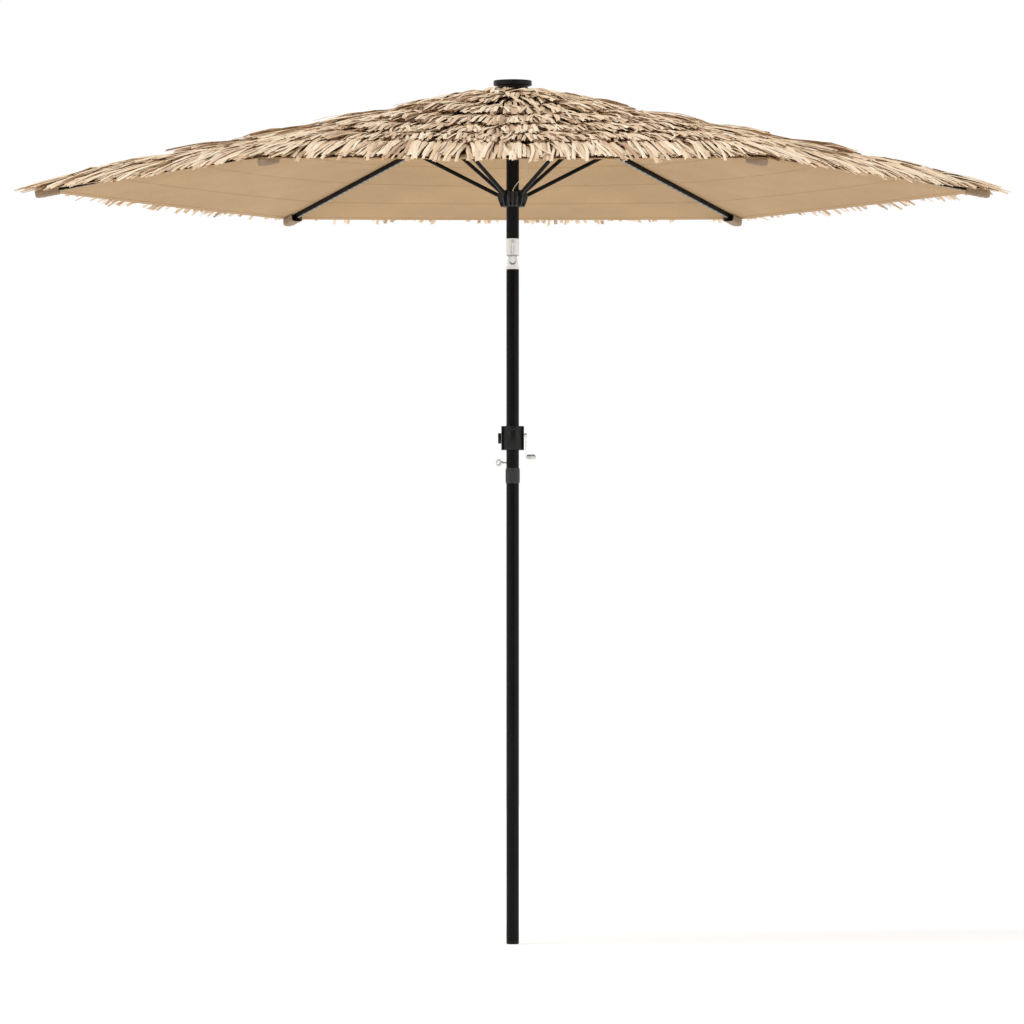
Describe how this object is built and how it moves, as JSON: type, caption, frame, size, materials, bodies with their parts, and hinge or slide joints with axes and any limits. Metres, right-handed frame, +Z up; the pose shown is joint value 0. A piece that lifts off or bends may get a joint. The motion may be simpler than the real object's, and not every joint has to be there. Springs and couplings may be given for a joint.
{
  "type": "beach umbrella",
  "caption": "Hexagonal crank-and-tilt parasol on a slim two-part pole, with a thatched canopy, a crank, a tilt joint and a flat solar lamp on top.",
  "frame": {"origin": "centre of the pole's foot", "axes": "+Z up the pole; +X along rib 1, towards the crank's handle; the tilt hinge turns about Y"},
  "size_m": [2.93, 2.5374, 2.585],
  "materials": {
    "steel_tube": "satin powder coat",
    "black_plastic": "fine moulded texture",
    "grey_plastic": "fine moulded texture",
    "cast_tilt": "satin cast and tumbled",
    "bright_metal": "bright zinc and chrome plate",
    "light_plastic": "smooth moulded",
    "solar_glass": "clear resin over solar cells",
    "canopy_cloth": "woven polyester with straw-like ribbon thatch",
    "pocket_cloth": "heavy woven polyester",
    "lift_cord": "translucent braided nylon"
  },
  "bodies": {
    "base": {"foot_plug": "black_plastic", "lower_pole": "steel_tube", "pole_coupling": "grey_plastic", "pole_ferrule": "steel_tube", "crank_pole": "steel_tube", "crank_housing_front": "grey_plastic", "crank_housing_rear": "grey_plastic", "crank_housing_cap": "black_plastic", "crank_brake": "black_plastic", "tilt_fork": "cast_tilt", "tilt_pin": "bright_metal"},
    "crank": {"crank_spool": "bright_metal", "crank_arm": "bright_metal"},
    "crank_grip": {"crank_grip": "light_plastic"},
    "lock_screw": {"lock_screw": "bright_metal"},
    "mast": {"tilt_head": "cast_tilt", "mast_pole": "steel_tube", "crown_hub": "black_plastic", "crown_ring": "bright_metal", "crown_cap": "black_plastic", "pulley_pin": "bright_metal", "finial_base": "black_plastic", "finial_disc": "black_plastic", "solar_panel": "solar_glass", "lift_cord": "lift_cord"},
    "tilt_button": {"tilt_button": "light_plastic"},
    "light_switch": {"light_switch": "light_plastic"},
    "pulley": {"cord_pulley": "light_plastic"},
    "runner": {"runner_hub": "black_plastic", "runner_collar": "grey_plastic"},
    "rib_1": {"rib_1": "steel_tube", "rib_bracket_1": "steel_tube", "tip_pocket_1": "pocket_cloth", "canopy_1": "canopy_cloth"},
    "strut_1": {"strut_1": "steel_tube"},
    "rib_2": {"rib_2": "steel_tube", "rib_bracket_2": "steel_tube", "tip_pocket_2": "pocket_cloth", "canopy_2": "canopy_cloth"},
    "strut_2": {"strut_2": "steel_tube"},
    "rib_3": {"rib_3": "steel_tube", "rib_bracket_3": "steel_tube", "tip_pocket_3": "pocket_cloth", "canopy_3": "canopy_cloth"},
    "strut_3": {"strut_3": "steel_tube"},
    "rib_4": {"rib_4": "steel_tube", "rib_bracket_4": "steel_tube", "tip_pocket_4": "pocket_cloth", "canopy_4": "canopy_cloth"},
    "strut_4": {"strut_4": "steel_tube"},
    "rib_5": {"rib_5": "steel_tube", "rib_bracket_5": "steel_tube", "tip_pocket_5": "pocket_cloth", "canopy_5": "canopy_cloth"},
    "strut_5": {"strut_5": "steel_tube"},
    "rib_6": {"rib_6": "steel_tube", "rib_bracket_6": "steel_tube", "tip_pocket_6": "pocket_cloth", "canopy_6": "canopy_cloth"},
    "strut_6": {"strut_6": "steel_tube"}
  },
  "joints": [
    {"name": "tilt", "type": "hinge", "parent": "base", "child": "mast", "pos_m": [0, 0, 2.042], "axis": [0, 1, 0], "range_deg": [-30, 0]},
    {"name": "fold", "type": "hinge", "parent": "mast", "child": "rib_1", "pos_m": [0.03, 0, 2.52215], "axis": [0, 1, 0], "range_deg": [0, 73.97], "deforming": ["canopy_1"]},
    {"name": "rib_2_fold", "type": "hinge", "parent": "mast", "child": "rib_2", "pos_m": [0.015, 0.02598, 2.52215], "axis": [-0.866, 0.5, 0], "range_deg": [0, 73.98], "deforming": ["canopy_2"]},
    {"name": "rib_3_fold", "type": "hinge", "parent": "mast", "child": "rib_3", "pos_m": [-0.015, 0.02598, 2.52215], "axis": [-0.866, -0.5, 0], "range_deg": [0, 73.98], "deforming": ["canopy_3"]},
    {"name": "rib_4_fold", "type": "hinge", "parent": "mast", "child": "rib_4", "pos_m": [-0.03, 0, 2.52215], "axis": [0, -1, 0], "range_deg": [0, 73.98], "deforming": ["canopy_4"]},
    {"name": "rib_5_fold", "type": "hinge", "parent": "mast", "child": "rib_5", "pos_m": [-0.015, -0.02598, 2.52215], "axis": [0.866, -0.5, 0], "range_deg": [0, 73.98], "deforming": ["canopy_5"]},
    {"name": "rib_6_fold", "type": "hinge", "parent": "mast", "child": "rib_6", "pos_m": [0.015, -0.02598, 2.52215], "axis": [0.866, 0.5, 0], "range_deg": [0, 73.98], "deforming": ["canopy_6"]},
    {"name": "strut_1_swing", "type": "hinge", "parent": "rib_1", "child": "strut_1", "pos_m": [0.4167, 0, 2.43047], "axis": [0, 1, 0], "range_deg": [-135.4, 0]},
    {"name": "strut_2_swing", "type": "hinge", "parent": "rib_2", "child": "strut_2", "pos_m": [0.20835, 0.36088, 2.43047], "axis": [-0.866, 0.5, 0], "range_deg": [-135.4, 0]},
    {"name": "strut_3_swing", "type": "hinge", "parent": "rib_3", "child": "strut_3", "pos_m": [-0.20835, 0.36088, 2.43047], "axis": [-0.866, -0.5, 0], "range_deg": [-135.4, 0]},
    {"name": "strut_4_swing", "type": "hinge", "parent": "rib_4", "child": "strut_4", "pos_m": [-0.4167, 0, 2.43047], "axis": [0, -1, 0], "range_deg": [-135.4, 0]},
    {"name": "strut_5_swing", "type": "hinge", "parent": "rib_5", "child": "strut_5", "pos_m": [-0.20835, -0.36088, 2.43047], "axis": [0.866, -0.5, 0], "range_deg": [-135.4, 0]},
    {"name": "strut_6_swing", "type": "hinge", "parent": "rib_6", "child": "strut_6", "pos_m": [0.20835, -0.36088, 2.43047], "axis": [0.866, 0.5, 0], "range_deg": [-135.4, 0]},
    {"name": "runner_slide", "type": "slide", "parent": "mast", "child": "runner", "axis": [0, 0, -1], "range_m": [0, 0.539], "deforming": ["lift_cord"]},
    {"name": "crank_turn", "type": "hinge", "parent": "base", "child": "crank", "pos_m": [0, 0, 1.5225], "axis": [1, 0, 0], "range_deg": [0, 3601]},
    {"name": "pulley_spin", "type": "hinge", "parent": "mast", "child": "pulley", "pos_m": [0.006, 0, 2.484], "axis": [0, 1, 0], "range_deg": [0, 3520]},
    {"name": "grip_spin", "type": "hinge", "parent": "crank", "child": "crank_grip", "pos_m": [0.05, 0, 1.456], "axis": [1, 0, 0], "continuous": true},
    {"name": "lock_screw_turn", "type": "hinge", "parent": "base", "child": "lock_screw", "pos_m": [-0.03, 0, 1.439], "axis": [1, 0, 0], "range_deg": [-720, 0]},
    {"name": "tilt_button_press", "type": "slide", "parent": "mast", "child": "tilt_button", "axis": [0, 1, 0], "range_m": [0, 0.0045], "stiffness_N_per_m": 600, "springref_m": -0.002},
    {"name": "light_switch_press", "type": "slide", "parent": "mast", "child": "light_switch", "axis": [0, 0, 1], "range_m": [0, 0.0015], "stiffness_N_per_m": 500, "springref_m": -0.001}
  ],
  "couplings": [
    {"joint": "rib_2_fold", "follows": "fold", "ratio": 1},
    {"joint": "rib_3_fold", "follows": "fold", "ratio": 1},
    {"joint": "rib_4_fold", "follows": "fold", "ratio": 1},
    {"joint": "rib_5_fold", "follows": "fold", "ratio": 1},
    {"joint": "rib_6_fold", "follows": "fold", "ratio": 1},
    {"joint": "strut_1_swing", "follows": "fold", "ratio": -1.8298},
    {"joint": "strut_2_swing", "follows": "fold", "ratio": -1.8298},
    {"joint": "strut_3_swing", "follows": "fold", "ratio": -1.8298},
    {"joint": "strut_4_swing", "follows": "fold", "ratio": -1.8298},
    {"joint": "strut_5_swing", "follows": "fold", "ratio": -1.8298},
    {"joint": "strut_6_swing", "follows": "fold", "ratio": -1.8298},
    {"joint": "runner_slide", "follows": "fold", "m_per_rad": 0.41734},
    {"joint": "crank_turn", "follows": "fold", "ratio": 48.668},
    {"joint": "pulley_spin", "follows": "fold", "ratio": 47.425}
  ]
}
